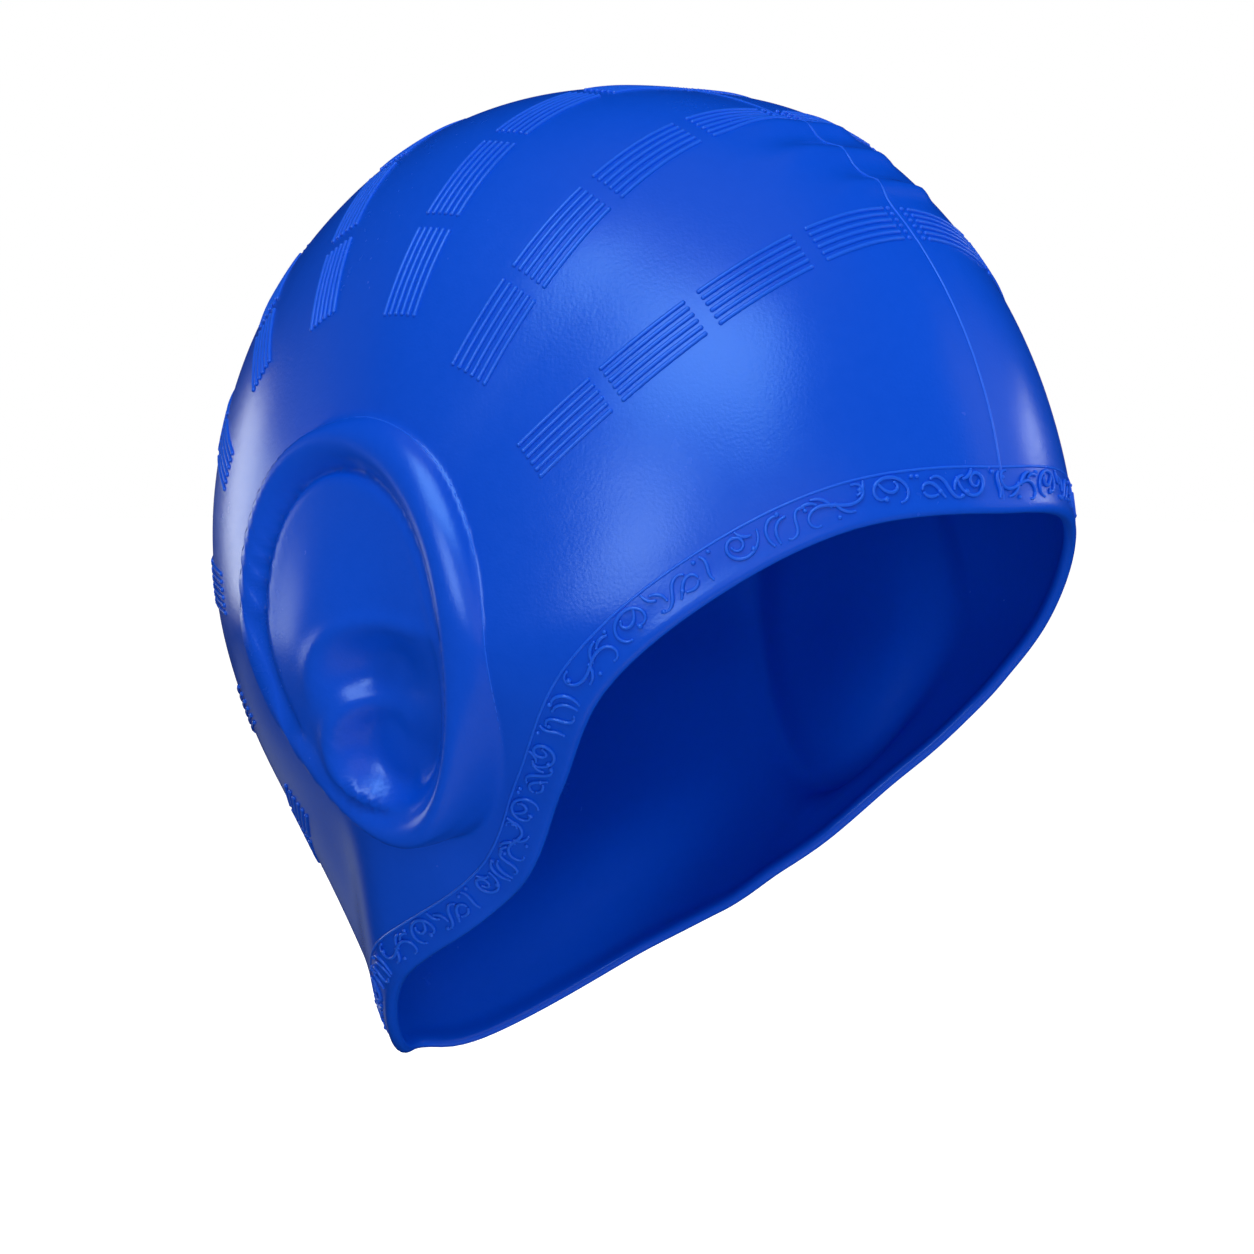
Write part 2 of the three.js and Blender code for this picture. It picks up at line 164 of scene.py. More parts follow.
# Inside, the floor is one smooth dish round both bowls. The side there starts to fall before the
# ring's crest, and the floor lies deeper than the skin by inside_drop, less inside_rise at its edge.
dish = {"back": 1, "up": -16, "half_width": 19, "half_height": 24}
dish_depth, inside_lap = 3.4, 5.0
inside_drop, inside_rise, inside_range = 5.8, 3.4, (0.6, 1.05)


def slope_round(across_share, along_share):
    """How wide the ring's outer slope is, and how far it is the soft slope below, round the ring."""
    below = smoothstep(-along_share, *slope_below_range)
    slope = slope_top + (slope_front - slope_top) * smoothstep(-across_share, *slope_front_range)
    return slope + (slope_below - slope) * below, below


def on_oval(toward, oval):
    """Place across and along an oval, radius (1 on it) and distance outside it, in each direction."""
    side = np.maximum(np.abs(toward[..., 0]), least_side)
    back = pocket_plane * toward[..., 1] / side - oval["back"]
    up = pocket_plane * toward[..., 2] / side - oval["up"]
    lean = math.radians(oval.get("lean", 0))
    across = back * math.cos(lean) - up * math.sin(lean)
    along = back * math.sin(lean) + up * math.cos(lean)
    height = along / oval["half_height"]
    reach_of_height = height / np.maximum(np.hypot(across / oval["half_width"], height), 1e-6)
    width = oval["half_width"] * (1 + oval.get("egg", 0) * reach_of_height)
    radius = np.maximum(np.hypot(across / width, height), 1e-6)
    return across, along, radius, np.hypot(across, along) * (1 - 1 / radius)


def ear_relief(toward):
    """How far the floor of the pocket is lifted by the lobes that follow the ear."""
    lift, hollow = 0, 1
    for lobe in lobes:
        across, along, radius, _ = on_oval(toward, lobe)
        turned = np.arctan2(along / lobe["half_height"], across / lobe["half_width"])
        toward_steep = smoothstep(np.cos(turned - math.radians(lobe["steepest"])), *steep_range)
        steep = lobe["steep"][1] + (lobe["steep"][0] - lobe["steep"][1]) * toward_steep
        inside = 1 / (1 + radius**steep)
        if lobe["lift"] > 0:
            lift = lift + lobe["lift"] * inside
        else:
            hollow = hollow * (1 - inside)
            rim_place = 1 + rim_beyond / steep
            lift = lift + lobe["rim"] * toward_steep * np.exp(-(((radius - rim_place) / rim_width) ** 2))
    deepest = min(lobe["lift"] for lobe in lobes)
    return lift * hollow + deepest * (1 - hollow)


# In front of the crown the skin buckles in soft folds: the direction where each starts and ends, how
# high it stands, and its half width at either end. It rises and fades within shares of its length.
folds = [
    {"start": (-22, -43.5, 104), "end": (17, -46, 104.5), "height": 2.3, "width": (4.2, 1.9)},
    {"start": (-26, -54.5, 98), "end": (20, -55, 98.5), "height": 2.6, "width": (4.6, 2.0)},
    {"start": (-17, -65.5, 91), "end": (22, -63.5, 91.5), "height": 2.2, "width": (4.0, 1.8)},
]
fold_reach = 116.1
fold_rise, fold_fade = (0, 0.45), (0.8, 1)


def buckle(toward):
    """How far the folds lift the skin."""
    lift = 0
    for fold in folds:
        start, end = unit(np.array(fold["start"], float)), unit(np.array(fold["end"], float))
        way = end - start
        share = np.clip((toward - start) @ way / (way @ way), 0, 1)
        width = fold["width"][0] + (fold["width"][1] - fold["width"][0]) * share
        aside = np.linalg.norm(toward - start - share[..., None] * way, axis=-1) * fold_reach
        fade = smoothstep(share, *fold_rise) * (1 - smoothstep(share, *fold_fade))
        lift = lift + fold["height"] * fade * np.exp(-((aside / width) ** 2))
    return lift


def skin(toward, inside=False):
    """The outer surface: a point in each direction, with the ear pockets raised on the head form.
    Inside, the floor of each pocket is one smooth dish, further in."""
    point = toward * head_form(toward)[..., None]
    across, along, radius, outside = on_oval(toward, crest)
    slope, below = slope_round(
        across / crest["half_width"] / radius, along / crest["half_height"] / radius
    )
    if inside:
        flank = smoothstep((outside + inside_lap) / (slope + inside_lap), 0, 1)
    else:
        point = point + toward * buckle(toward)[..., None]
        share = np.clip(outside / slope, 0, 1)
        rounded = np.hypot(share, shoulder_round) - shoulder_round
        rounded_at_foot = math.hypot(1, shoulder_round) - shoulder_round
        shoulder = shoulder_share * rounded / rounded_at_foot + foot_share * share**foot_power
        flank = shoulder + (smoothstep(share, 0, 1) - shoulder) * below
    raised = np.where(np.abs(toward[..., 0]) < pockets_from, 0, 1 - flank)
    top = ring_side - tip_in * soft_ramp(tip_from - along, tip_bend)
    top = top - tip_back * soft_ramp(across, tip_bend)
    if inside:
        _, _, from_dish, _ = on_oval(toward, dish)
        side = top - inside_drop + inside_rise * smoothstep(radius, *inside_range)
        side = side - dish_depth * np.exp(-(from_dish**2))
    else:
        groove_across, groove_along, _, past_groove = on_oval(toward, groove)
        across_share = groove_across / groove["half_width"]
        along_share = groove_along / groove["half_height"]
        forward = smoothstep(-across_share, *groove_front_range)
        low = smoothstep(-along_share, *groove_low_range)
        depth = groove_depth * (1 - groove_fade * np.maximum(forward, low))
        turned = np.degrees(np.arctan2(along_share, across_share))
        depth = depth * (1 - np.exp(-(((turned - filled_turn) / filled_spread) ** 2)))
        inward = np.clip(-outside / np.maximum(past_groove - outside, 1e-6), 0, 1)
        edge = groove_edge + groove_edge_front * forward
        fallen = np.where(past_groove > 0, inward**ring_bend, np.exp(-((past_groove / edge) ** 2)))
        hollow = depth * np.where(outside < 0, fallen, 0)
        floor = floor_level + ear_relief(toward)
        side = top - hollow + floor * smoothstep(-past_groove, 0, 2 * edge)
    plain = np.abs(point[..., 0])
    scale = (plain + (side - plain) * raised) / np.maximum(plain, 1e-6)
    return np.where((raised > 0)[..., None], point * scale[..., None], point)


def skin_and_normal(toward, inside=False):
    toward = unit(toward)
    upright = np.where(np.abs(toward[..., 2:]) < 0.9, [0.0, 0.0, 1.0], [0.0, 1.0, 0.0])
    first = unit(np.cross(toward, upright))
    second = np.cross(toward, first)
    step = 0.003
    slopes = [
        skin(unit(toward + step * way), inside) - skin(unit(toward - step * way), inside)
        for way in (first, second)
    ]
    return skin(toward, inside), unit(np.cross(*slopes))


# The rim as a fine closed curve, on which stations give a point, a normal and the way out of the cap.
columns, fine_points = 400, 4001
half_edge = np.array([skin(direction(angle, spread)) for angle, spread in opening])
half_edge[[0, -1], 0] = 0
knots = np.concatenate([half_edge, half_edge[-2:0:-1] * [-1, 1, 1]])
fine = unit(on_curve(knots, np.linspace(0, len(knots), fine_points)))
fine, _ = skin_and_normal(fine)
run = np.concatenate([[0], np.cumsum(np.linalg.norm(np.diff(fine, axis=0), axis=1))])
rim_length = run[-1]


def rim_station(distance):
    """Rim point, outward normal and way out of the opening at distances along the rim."""
    def at(place):
        place = np.mod(place, rim_length)
        return np.stack([np.interp(place, run, fine[:, axis]) for axis in range(3)], -1)
    point, normal = skin_and_normal(at(distance))
    step = 1.5
    along = unit(at(distance + step) - at(distance - step))
    return point, normal, unit(np.cross(along, normal))


# The columns of the mesh stand closer over the ears, where the relief is.
closer_at_ears = 2.2
closeness = 1 + closer_at_ears * (np.abs(fine[:, 0]) / np.abs(fine[:, 0]).max()) ** 2
spread_out = np.concatenate([[0], np.cumsum(np.diff(run) * (closeness[1:] + closeness[:-1]))])
stations = np.interp(np.arange(columns) / columns, spread_out / spread_out[-1], run)
rim, _, rim_down = rim_station(stations)
# The wall runs from the crown to a little short of the rim, thickens to the round rolled edge, and
# comes back inside. The ways out of the cap and the lifts off the skin say where it thickens.
crown = unit(np.array([0.0, 0.25, 1.0]))
edge_length, edge_radius, edge_out, edge_sunk = 6, 1.4, -1.3, 1.0
thickening = [(-4.5, 0.03), (-3.3, 0.12), (-2.3, 0.28)]
thinning = [(-2.3, -2.3), (-3.3, -2.0), (-4.5, -1.7)]
short = unit(rim - edge_length * rim_down)
swing = np.arccos(np.clip(short @ crown, -1, 1))[:, None]


def ring(share):
    """Directions a share of the way from the crown to the edge, one in each column."""
    return unit((np.sin((1 - share) * swing) * crown + np.sin(share * swing) * short) / np.sin(swing))


def lip_ring(out, lift):
    point, normal = skin_and_normal(rim + out * rim_down)
    return point + lift * normal


outer_rows, inner_rows = 190, 40
rings = [skin(ring(row / outer_rows)) for row in range(1, outer_rows + 1)]
rings += [lip_ring(out, lift) for out, lift in thickening]
edge_skin, edge_normal = skin_and_normal(rim + edge_out * rim_down)
edge_middle = edge_skin - edge_sunk * edge_normal
for turn in np.radians(np.arange(90, -91, -20)):
    rings.append(edge_middle + edge_radius * (math.cos(turn) * rim_down + math.sin(turn) * edge_normal))
rings += [lip_ring(out, lift) for out, lift in thinning]
for row in range(inner_rows, 0, -1):
    point, normal = skin_and_normal(ring(row / inner_rows), inside=True)
    rings.append(point - wall * normal)
top, top_normal = skin_and_normal(crown)
vertices = np.concatenate([top[None], *rings, (top - wall * top_normal)[None]])
last = len(vertices) - 1
faces = [(0, 1 + column, 1 + (column + 1) % columns) for column in range(columns)]
for row in range(len(rings) - 1):
    for column in range(columns):
        beside = (column + 1) % columns
        near, far = 1 + row * columns, 1 + (row + 1) * columns
        faces.append((near + column, far + column, far + beside, near + beside))
end = 1 + (len(rings) - 1) * columns
faces += [(last, end + (column + 1) % columns, end + column) for column in range(columns)]

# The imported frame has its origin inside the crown, and the ear axis lies this far below it.
ear_axis = wall - skin(direction(90.0, 90.0))[2]


def to_frame(points):
    """Points about the ear axis in mm, as points of the shared frame in metres."""
    return (np.asarray(points) + [0, 0, ear_axis]) * 0.001


def piece_from(name, points, polygons=(), lines=()):
    mesh = bpy.data.meshes.new(name)
    mesh.from_pydata(to_frame(points).tolist(), lines, polygons)
    mesh.validate()
    made = bpy.data.objects.new(name, mesh)
    bpy.context.scene.collection.objects.link(made)
    return made


class Value:
    """A number or colour that varies over a surface. Sums and products of it add Math nodes."""

    def __init__(self, tree, socket):
        self.tree, self.socket = tree, socket

    def maths(self, operation, first, second):
        node = self.tree.nodes.new("ShaderNodeMath")
        node.operation = operation
        for place, number in zip(node.inputs, (first, second)):
            if isinstance(number, Value):
                self.tree.links.new(number.socket, place)
            else:
                place.default_value = number
        return Value(self.tree, node.outputs[0])

    def __add__(self, other):
        return self.maths("ADD", self, other)

    def __mul__(self, other):
        return self.maths("MULTIPLY", self, other)

    __radd__ = __add__


class Finish:
    """A material in the making."""

    def __init__(self, name):
        self.material = bpy.data.materials.new(name)
        self.material.use_nodes = True
        self.tree = self.material.node_tree
        self.tree.nodes.clear()

    def node(self, kind, settings, sockets, output=0):
        node = self.tree.nodes.new(kind)
        for name, value in settings.items():
            setattr(node, name, value)
        for name, value in sockets.items():
            if isinstance(value, Value):
                self.tree.links.new(value.socket, node.inputs[name])
            else:
                node.inputs[name].default_value = value
        return Value(self.tree, node.outputs[output]) if len(node.outputs) else None


def silicone(name, deep, light, grain_depth):
    """Satin silicone: faintly mottled, with the fine grain that the mould leaves in its gloss."""
    finish = Finish(name)
    place = finish.node("ShaderNodeTexCoord", {}, {}, "Object")
    mottle = finish.node("ShaderNodeTexNoise", {}, {"Vector": place, "Scale": 16, "Detail": 3})
    speckle = finish.node("ShaderNodeTexNoise", {}, {"Vector": place, "Scale": 420, "Detail": 2})
    grain = finish.node("ShaderNodeTexNoise", {}, {"Vector": place, "Scale": 1500, "Detail": 2})
    swell = finish.node("ShaderNodeTexNoise", {}, {"Vector": place, "Scale": 45, "Detail": 1})
    shade = mottle * 0.7 + speckle * 0.3
    # A mix of colours has them at places 6 and 7 of its sockets, and its result at place 2.
    tint = finish.node("ShaderNodeMix", {"data_type": "RGBA"}, {"Factor": shade}, 2)
    mix = tint.socket.node
    mix.inputs[6].default_value = deep
    mix.inputs[7].default_value = light
    bumps = grain * 0.6 + speckle * 0.25 + swell * 1.2
    relief_normal = finish.node(
        "ShaderNodeBump", {}, {"Height": bumps, "Strength": 1.0, "Distance": grain_depth}, "Normal"
    )
    surface = finish.node(
        "ShaderNodeBsdfPrincipled",
        {},
        {
            "Base Color": tint,
            "Roughness": 0.19 + mottle * 0.08 + speckle * 0.05,
            "Normal": relief_normal,
            "IOR": 1.43,
        },
    )
    finish.node("ShaderNodeOutputMaterial", {}, {"Surface": surface})
    return finish.material


blue = silicone("blue_silicone", (0.0002, 0.068, 0.64, 1), (0.0006, 0.088, 0.76, 1), 0.00006)
cap_wall = piece_from("cap_wall", vertices, faces)
cap_wall.data.shade_smooth()
cap_wall.data.materials.append(blue)
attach(cap_wall, "root")
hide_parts("cap_shell")

# Raised lines
# All the low relief is cut in the mould as round grooves, so it stands on the cap as fine half-round
# beads of the same silicone. Each is a path along the skin, swept, with a rounded end.


def line_tree():
    """Geometry nodes that sweep each path of a piece into a bead with ball ends."""
    tree = bpy.data.node_groups.new("raised_line", "GeometryNodeTree")
    entry = tree.interface.new_socket
    entry("Paths", in_out="INPUT", socket_type="NodeSocketGeometry")
    entry("Bead radius", in_out="INPUT", socket_type="NodeSocketFloat")
    entry("End radius", in_out="INPUT", socket_type="NodeSocketFloat")
    entry("Sides", in_out="INPUT", socket_type="NodeSocketInt")
    entry("Finish", in_out="INPUT", socket_type="NodeSocketMaterial")
    entry("Beads", in_out="OUTPUT", socket_type="NodeSocketGeometry")

    def add(kind, links, **settings):
        node = tree.nodes.new(kind)
        for name, value in settings.items():
            setattr(node, name, value)
        for name, value in links.items():
            if isinstance(value, bpy.types.NodeSocket):
                tree.links.new(value, node.inputs[name])
            else:
                node.inputs[name].default_value = value
        return node

    given = tree.nodes.new("NodeGroupInput").outputs
    thick = add("GeometryNodeInputNamedAttribute", {"Name": "thickness"}, data_type="FLOAT").outputs[0]
    paths = add("GeometryNodeMeshToCurve", {"Mesh": given["Paths"]}).outputs[0]
    section = add(
        "GeometryNodeCurvePrimitiveCircle",
        {"Resolution": given["Sides"], "Radius": given["Bead radius"]},
    )
    swept = add(
        "GeometryNodeCurveToMesh",
        {"Curve": paths, "Profile Curve": section.outputs[0], "Scale": thick, "Fill Caps": True},
    )
    ball = add("GeometryNodeMeshIcoSphere", {"Radius": given["End radius"], "Subdivisions": 2})
    ends = add("GeometryNodeCurveEndpointSelection", {})
    balls = add(
        "GeometryNodeInstanceOnPoints",
        {"Points": paths, "Selection": ends.outputs[0], "Instance": ball.outputs[0], "Scale": thick},
    )
    joined = tree.nodes.new("GeometryNodeJoinGeometry")
    tree.links.new(swept.outputs[0], joined.inputs[0])
    tree.links.new(balls.outputs[0], joined.inputs[0])
    real = add("GeometryNodeRealizeInstances", {"Geometry": joined.outputs[0]})
    smooth = add("GeometryNodeSetShadeSmooth", {"Geometry": real.outputs[0]})
    finished = add("GeometryNodeSetMaterial", {"Geometry": smooth.outputs[0], "Material": given["Finish"]})
    result = tree.nodes.new("NodeGroupOutput")
    tree.links.new(finished.outputs[0], result.inputs[0])
    return tree


raised_line = line_tree()
# Standing proud and thin, the beads are painted a little paler than the wall: a painted highlight along
# them.
bead_painted_highlight_blue = silicone("bead_painted_highlight_silicone", (0.006, 0.105, 0.78, 1), (0.012, 0.13, 0.88, 1), 0.00002)


def raised_lines(name, paths, bead, end, sides):
    """A piece of beads along paths. Each path has its points, its thickness as a share of the bead,
    and whether it closes on itself. The bead and its ball ends have their radius in mm."""
    points = np.concatenate([path for path, _, _ in paths])
    thickness = np.concatenate([np.broadcast_to(thick, len(path)) for path, thick, _ in paths])
    lines, start = [], 0
    for path, _, closed in paths:
        lines += [(start + step, start + step + 1) for step in range(len(path) - 1)]
        if closed:
            lines.append((start + len(path) - 1, start))
        start += len(path)
    drawn = piece_from(name + "_paths", points, lines=lines)
    drawn.data.attributes.new("thickness", "FLOAT", "POINT").data.foreach_set("value", thickness)
    sweep = drawn.modifiers.new("sweep", "NODES")
    sweep.node_group = raised_line
    # Every bead takes the paler blue, which is its painted highlight.
    inputs = {
        "Bead radius": bead * 0.001,
        "End radius": end * 0.001,
        "Sides": sides,
        "Finish": bead_painted_highlight_blue,
    }
    for item in raised_line.interface.items_tree:
        if item.name in inputs:
            sweep[item.identifier] = inputs[item.name]
    evaluated = drawn.evaluated_get(bpy.context.evaluated_depsgraph_get())
    mesh = bpy.data.meshes.new_from_object(evaluated)
    drawn.modifiers.clear()
    made = bpy.data.objects.new(name, mesh)
    bpy.context.scene.collection.objects.link(made)
    bpy.data.objects.remove(drawn)
    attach(made, "root")
    return made


def on_skin(toward, lift):
    point, normal = skin_and_normal(toward)
    return point + lift * normal


# Rib bands
# Nine bands of six ribs run from ear to ear over the head, in dashes, for grip and stretch. Each band
# has its angle at the middle and at its end by the ear, and the spread where it ends.
bands = [
    {"crest": 49.2, "ear": 46, "end": 36, "dashes": 4},
    {"crest": 69.8, "ear": 70.3, "end": 38.7, "dashes": 4},
    {"crest": 84.8, "ear": 90.5, "end": 42.5, "dashes": 4},
    {"crest": 106, "ear": 112.5, "end": 45.5, "dashes": 4},
    {"crest": 128.5, "ear": 133.3, "end": 48.5, "dashes": 4},
    {"crest": 150, "ear": 152, "end": 47.8, "dashes": 4},
    {"crest": 172.5, "ear": 174, "end": 46.5, "dashes": 4},
    {"crest": 193, "ear": 193.7, "end": 46, "dashes": 3},
    {"crest": 211, "ear": 210, "end": 52, "dashes": 3},
]
rib_pitch, ribs_per_band, rib_lift = 1.7, 6, 0.02
most_dashes, dash_gap, seam_gap, dash_points = 4, 2.1, 1.1, 14
# Short of the middle of the head each rib ends early, and a dot stands by itself beyond its end.
dot_gap, dot_length = 1.1, 0.0002


def dot(toward, lift):
    """A path so short that only the ball ends of the bead are seen."""
    return on_skin(toward + np.array([[0, 0, 0], [dot_length, 0, dot_length]]), lift)


ribs = []
for band in bands:
    dash = (90 - seam_gap - band["end"] - (most_dashes - 1) * dash_gap) / most_dashes
    for step in range(most_dashes - band["dashes"], most_dashes):
        at_middle = step == most_dashes - 1
        start = band["end"] + step * (dash + dash_gap)
        stop = start + dash - (dot_gap if at_middle else 0)
        spread = np.append(np.linspace(start, stop, dash_points), start + dash)
        angle = band["crest"] + (band["ear"] - band["crest"]) * (90 - spread) / (90 - band["end"])
        middle = direction(angle, spread)
        across = np.hypot(middle[:, 1], middle[:, 2]) * head_form(middle)
        for rib in range(ribs_per_band):
            offset = (rib - (ribs_per_band - 1) / 2) * rib_pitch
            for side in (-1, 1):
                toward = direction(angle + np.degrees(offset / across), spread, side)
                ribs.append((on_skin(toward[:-1], rib_lift), 1.0, False))
                if at_middle:
                    ribs.append((dot(toward[-1], rib_lift), 1.0, False))
rib_bands = raised_lines("rib_bands", ribs, 0.5, 0.55, sides=8)

# Mould lines
# A fine line closes the ornament band along the rim, one runs over the middle of the head where the
# mould parts, down to the edge, and one rings the front of each ear pocket at the foot of its slope.
# Each is a bead sunk a little in the skin, and the pocket's fades out at both ends.
band_width = 9.6
line_sunk, pocket_line_sunk = 0.06, 0.05
band_line = on_skin(rim - band_width * rim_down, -line_sunk)
parting_angles = np.arange(15.4, 233, 1.2)
parting = on_skin(direction(parting_angles, 90.0), -line_sunk)


def oval_loop(oval, turn, outside, side):
    """Directions along a line a way outside an oval, at turns about its middle, on one side."""
    across = oval["half_width"] * (1 + oval["egg"] * np.sin(turn)) * np.cos(turn)
    along = oval["half_height"] * np.sin(turn)
    further = 1 + outside / np.hypot(across, along)
    across, along = across * further, along * further
    lean = math.radians(oval["lean"])
    back = oval["back"] + across * math.cos(lean) + along * math.sin(lean)
    up = oval["up"] - across * math.sin(lean) + along * math.cos(lean)
    return unit(np.stack([np.full_like(turn, side * pocket_plane), back, up], -1))


lines = [(band_line, 1.0, True), (parting, 1.0, False)]
turn, fade_points = np.radians(np.arange(55, 208, 2.0)), 12
foot, _ = slope_round(np.cos(turn), np.sin(turn))
fade = smoothstep(turn, turn[0], turn[fade_points])
fade = fade * (1 - smoothstep(turn, turn[-fade_points], turn[-1]))
thinnest, thicker = 0.2, 0.5
for side in (-1, 1):
    pocket_line = on_skin(oval_loop(crest, turn, foot, side), -pocket_line_sunk)
    lines.append((pocket_line, thinnest + thicker * fade, False))
mould_lines = raised_lines("mould_lines", lines, 0.34, 0.34, sides=6)

# Scroll band
# Between the band line and the edge runs a row of small scrolls, as are common on such edges. Every
# stroke is a line whose bend changes along it, and its bead thins out towards a ball at either end.
# Each motif has strokes as (along, up, heading, length, bend, twist, curl), in mm and in degrees a
# mm, about its middle, and dots as (along, up, size).
motifs = [
    {  # a long S with a leaf at each bend
        "strokes": [
            (0.0, 0.0, 22, 19.0, 0, -46, 0),
            (1.5, 1.6, 40, 4.2, -16, 0, -10),
            (-1.5, -1.6, 220, 4.2, -16, 0, -10),
            (4.3, 1.9, 8, 3.2, -24, 0, 0),
        ],
        "dots": [(-5.3, 1.4, 1.1), (-0.4, -2.6, 0.9)],
    },
    {  # a C open below, with a spiral inside
        "strokes": [
            (0.2, 2.7, 3, 16.0, -15, -7, -30),
            (-0.5, -0.3, 190, 6.4, -34, -34, 0),
            (4.9, 1.4, -62, 3.0, 24, 20, 0),
        ],
        "dots": [(0.9, -1.5, 1.1), (-4.6, 2.3, 0.9)],
    },
    {  # a leaning stem that ends in hooks, with side shoots
        "strokes": [
            (-1.2, 0.0, 62, 9.4, 0, -46, 0),
            (1.9, 0.5, 36, 6.6, -20, -34, 0),
            (-3.4, 0.9, 128, 3.6, 24, 0, 0),
            (2.6, -2.0, 6, 3.2, 26, 20, 0),
        ],
        "dots": [(0.4, -1.1, 1.0), (4.9, 2.2, 0.9), (-4.6, -2.2, 1.0)],
    },
    {  # a round spiral with a tail
        "strokes": [
            (0.5, 0.3, 100, 19.0, -25, -22, -9),
            (-3.9, 0.4, 70, 5.2, 4, 44, 0),
            (4.2, 1.7, -40, 3.0, 24, 0, 0),
        ],
        "dots": [(-2.4, 2.5, 0.9), (4.9, -1.4, 1.1)],
    },
    {  # two arcs side by side and a short S
        "strokes": [
            (-2.2, 0.7, 66, 7.2, -16, -10, -12),
            (-0.5, 0.0, 62, 5.8, -18, -10, 0),
            (3.3, -0.3, 84, 8.2, 0, -62, 0),
        ],
        "dots": [(0.8, 2.4, 1.0), (5.6, 0.9, 0.9)],
    },
]
scroll_pitch, scroll_size, scroll_middle, scroll_lift = 11.2, 1.05, 5.9, 0.18
points_per_mm, fewest_points, thinning_out = 1.5, 7, 0.35


def scroll_stroke(along, up, heading, length, bend, twist, curl):
    """Points of one stroke about the middle of its motif, with its place from -1 to 1."""
    place = np.linspace(-1, 1, max(fewest_points, round(length * points_per_mm)))
    turn = heading + length / 2 * (bend * place + twist * place**2 / 2 + curl * place**3 / 3)
    way = np.stack([np.cos(np.radians(turn)), np.sin(np.radians(turn))], -1)
    step = length / (len(place) - 1)
    path = np.concatenate([[[0, 0]], np.cumsum((way[1:] + way[:-1]) / 2 * step, axis=0)])
    return path + [along, up] - path[len(place) // 2], place


def on_band(middle, path):
    """Points of a motif laid on the band along the rim."""
    point, _, down = rim_station(middle + path[:, 0] * scroll_size)
    return on_skin(point - (scroll_middle + path[:, 1:] * scroll_size) * down, scroll_lift)


scrolls = []
motif_count = round(rim_length / scroll_pitch)
for place in range(motif_count):
    middle = (place + 0.5) * rim_length / motif_count
    motif = motifs[place % len(motifs)]
    flip = [-1 if place // len(motifs) % 2 else 1, 1]
    for stroke in motif["strokes"]:
        path, share = scroll_stroke(*stroke)
        scrolls.append((on_band(middle, path * flip), 1 - thinning_out * share**2, False))
    for along, up, size in motif["dots"]:
        path = np.array([[along, up], [along + 0.05, up]]) * flip
        scrolls.append((on_band(middle, path), size, False))
scroll_band = raised_lines("scroll_band", scrolls, 0.44, 0.52, sides=6)

# Stage
# A pale floor well below the cap, which is held up as on a head, under soft studio lights.
floor_half, floor_height = 9.0, -0.33
floor_corners = [(-1, -1), (1, -1), (1, 1), (-1, 1)]
floor_mesh = bpy.data.meshes.new("floor")
floor_mesh.from_pydata(
    [(floor_half * x, floor_half * y, floor_height) for x, y in floor_corners], [], [(0, 1, 2, 3)]
)
floor = bpy.data.objects.new("floor", floor_mesh)
bpy.context.scene.collection.objects.link(floor)
pale = Finish("pale_floor")
pale_surface = pale.node(
    "ShaderNodeBsdfPrincipled",
    {},
    {
        "Base Color": (0.9, 0.9, 0.9, 1),
        "Roughness": 0.9,
        "Emission Color": (1, 1, 1, 1),
        "Emission Strength": 0.8,
    },
)
pale.node("ShaderNodeOutputMaterial", {}, {"Surface": pale_surface})
floor_mesh.materials.append(pale.material)
floor.visible_diffuse = floor.visible_glossy = False

# The room looks white behind the cap. It lights the cap evenly, and doesn't show in its gloss.
world = bpy.data.worlds.new("studio")
world.use_nodes = True
room = world.node_tree
background = room.nodes["Background"]
background.inputs["Color"].default_value = (1, 1, 1, 1)
seen, even = 1.0, 0.36
rays, choice = room.nodes.new("ShaderNodeLightPath"), room.nodes.new("ShaderNodeMix")
choice.inputs["A"].default_value, choice.inputs["B"].default_value = even, seen
room.links.new(rays.outputs["Is Camera Ray"], choice.inputs["Factor"])
room.links.new(choice.outputs["Result"], background.inputs["Strength"])
world.cycles_visibility.glossy = False
bpy.context.scene.world = world


def away(azimuth, elevation):
    """The way out from the cap at an azimuth from the front and an elevation, both in degrees."""
    turn, rise = math.radians(azimuth), math.radians(elevation)
    level = math.cos(rise)
    return np.array([math.sin(turn) * level, -math.cos(turn) * level, math.sin(rise)])


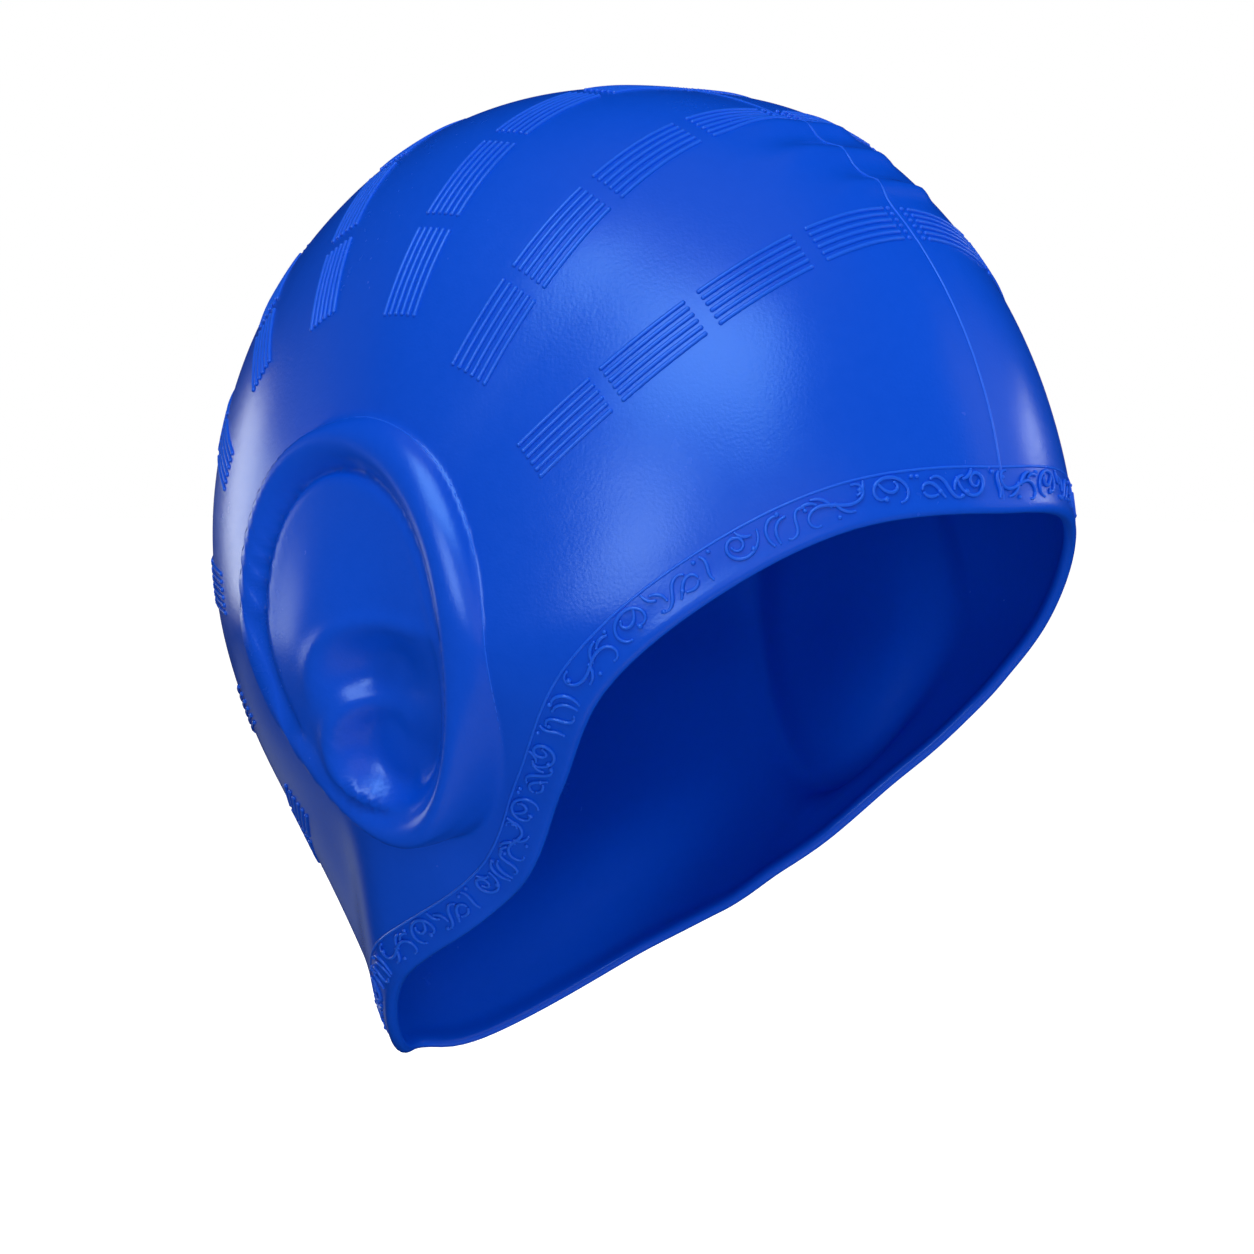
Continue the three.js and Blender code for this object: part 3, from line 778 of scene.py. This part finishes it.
def softbox(name, azimuth, elevation, distance, size, power, kind, tint=(1, 1, 1)):
    """A rectangular soft light that faces the middle of the cap. A fill shows in no gloss, and a
    sheen shows in nothing else."""
    light = bpy.data.lights.new(name, "AREA")
    light.shape = "RECTANGLE"
    light.size, light.size_y = size
    light.energy = power
    light.color = tint
    lamp = bpy.data.objects.new(name, light)
    back = away(azimuth, elevation)
    lamp.location = back * distance + [0, 0, ear_axis * 0.001]
    lamp.rotation_mode = "QUATERNION"
    lamp.rotation_quaternion = Vector(-back).to_track_quat("-Z", "Y")
    lamp.visible_camera = False
    lamp.visible_glossy = kind != "fill"
    lamp.visible_diffuse = kind != "sheen"
    bpy.context.scene.collection.objects.link(lamp)


softbox("key_fill", -65, 50, 1.7, (0.9, 0.8), 10, "fill")
softbox("top_fill", -40, 80, 1.6, (1.2, 1.2), 4, "fill")
softbox("low_fill", -24, -60, 1.5, (1.5, 1.5), 7, "fill")
softbox("opening_fill", -40, 4, 1.5, (0.9, 0.9), 5.5, "fill")
softbox("back_fill", -170, 6, 1.5, (0.6, 1.0), 2, "fill")
softbox("right_fill", 60, 15, 1.5, (0.9, 1.0), 10, "fill")
softbox("key_sheen", -62, 43, 1.7, (1.0, 0.8), 16, "sheen", (0.3, 0.75, 1.0))
softbox("front_sheen", -74, 12, 1.7, (0.5, 0.7), 8, "sheen", (0.5, 0.8, 1.0))
softbox("back_sheen", 178, 2, 1.5, (0.34, 0.46), 1.8, "sheen", (0.9, 0.96, 1.0))
softbox("neck_sheen", 158, -15, 1.5, (0.4, 0.3), 0.09, "sheen", (0.8, 0.92, 1.0))
softbox("left_sheen", -164, 0, 1.5, (0.7, 0.42), 2.0, "sheen", (0.75, 0.9, 1.0))
softbox("right_sheen", 74, 13, 1.5, (0.5, 0.22), 1.2, "sheen", (0.85, 0.95, 1.0))

# The camera stands where the photograph was taken from, with a long lens.
camera_azimuth, camera_elevation, camera_distance = -45.87, 2.55, 0.98
camera = bpy.data.objects.new("camera", bpy.data.cameras.new("camera"))
camera.location = away(camera_azimuth, camera_elevation) * camera_distance + [0, 0, ear_axis * 0.001]
camera.rotation_euler = (math.radians(90 - camera_elevation), 0, math.radians(camera_azimuth))
camera.data.lens = 128.8
camera.data.shift_x, camera.data.shift_y = -0.0167, -0.0008
camera.data.clip_start = 0.05
bpy.context.scene.collection.objects.link(camera)
bpy.context.scene.camera = camera
bpy.context.scene.view_settings.view_transform = "Standard"
